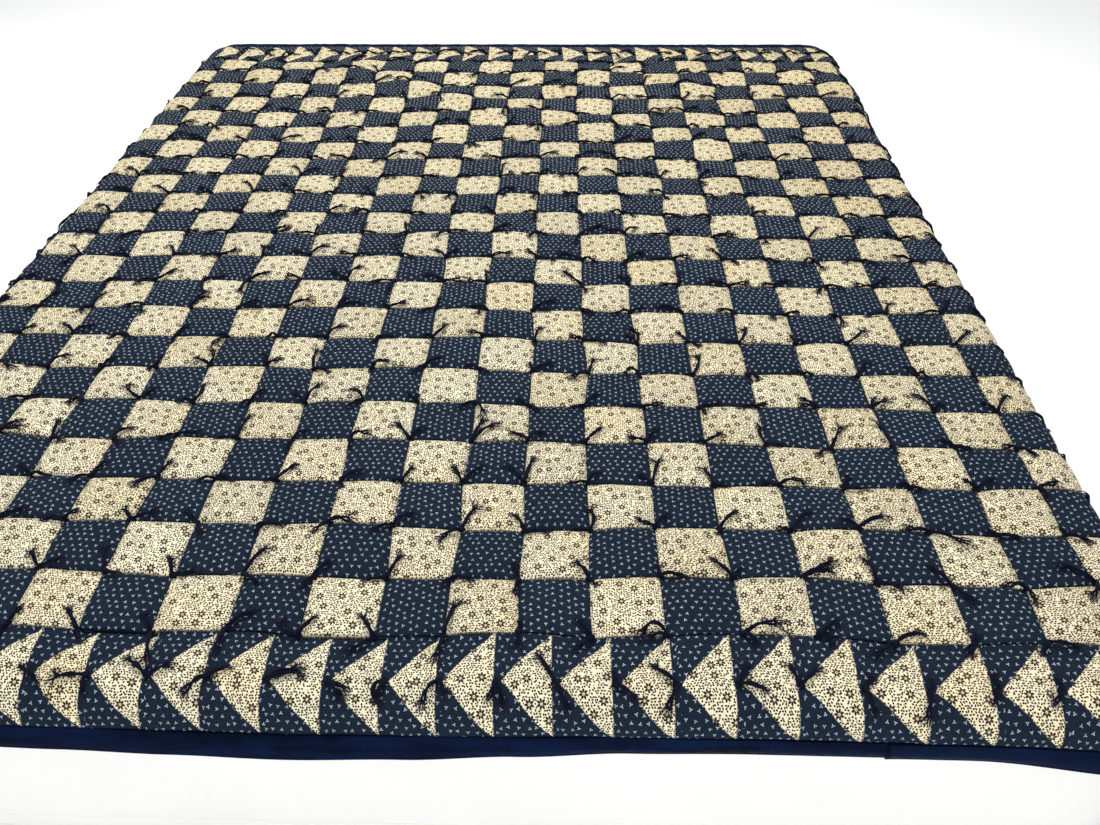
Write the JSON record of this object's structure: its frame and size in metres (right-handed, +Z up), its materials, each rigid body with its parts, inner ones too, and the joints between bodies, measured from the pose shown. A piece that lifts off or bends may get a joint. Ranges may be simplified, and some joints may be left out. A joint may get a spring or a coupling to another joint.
{
  "type": "tied patchwork quilt on a mattress",
  "caption": "Tied patchwork quilt in a navy and cream checkerboard with pieced triangle borders and plain binding, lying over the edges of a plain mattress.",
  "frame": {"origin": "centre of the overall box's bottom face, on the surface that the mattress stands on", "axes": "+Z up, +Y from the foot of the bed to its head, +X across the bed to the right as seen from the foot"},
  "size_m": [1.6582, 1.9028, 0.2728],
  "materials": {
    "patchwork": "printed cotton squares, navy and cream, softly puffed between the ties",
    "pieced_border": "printed cotton triangles, cream on navy",
    "binding": "plain navy cotton with a faint sheen",
    "yarn": "matt fuzzy navy yarn",
    "mattress_cover": "plain off-white woven cover"
  },
  "bodies": {
    "root": {"quilt_checkerboard": "patchwork", "border_foot": "pieced_border", "border_head": "pieced_border", "border_left": "pieced_border", "border_right": "pieced_border", "binding_foot": "binding", "binding_head": "binding", "binding_left": "binding", "binding_right": "binding", "mattress": "mattress_cover", "tie_01": "yarn", "tie_02": "yarn", "tie_03": "yarn", "tie_04": "yarn", "tie_05": "yarn", "tie_06": "yarn", "tie_07": "yarn", "tie_08": "yarn", "tie_09": "yarn", "tie_10": "yarn", "tie_11": "yarn", "tie_12": "yarn", "tie_13": "yarn", "tie_14": "yarn", "tie_15": "yarn", "tie_16": "yarn", "tie_17": "yarn", "tie_18": "yarn", "tie_19": "yarn", "tie_20": "yarn", "tie_21": "yarn", "tie_22": "yarn", "tie_23": "yarn", "tie_24": "yarn", "tie_25": "yarn"}
  },
  "joints": []
}
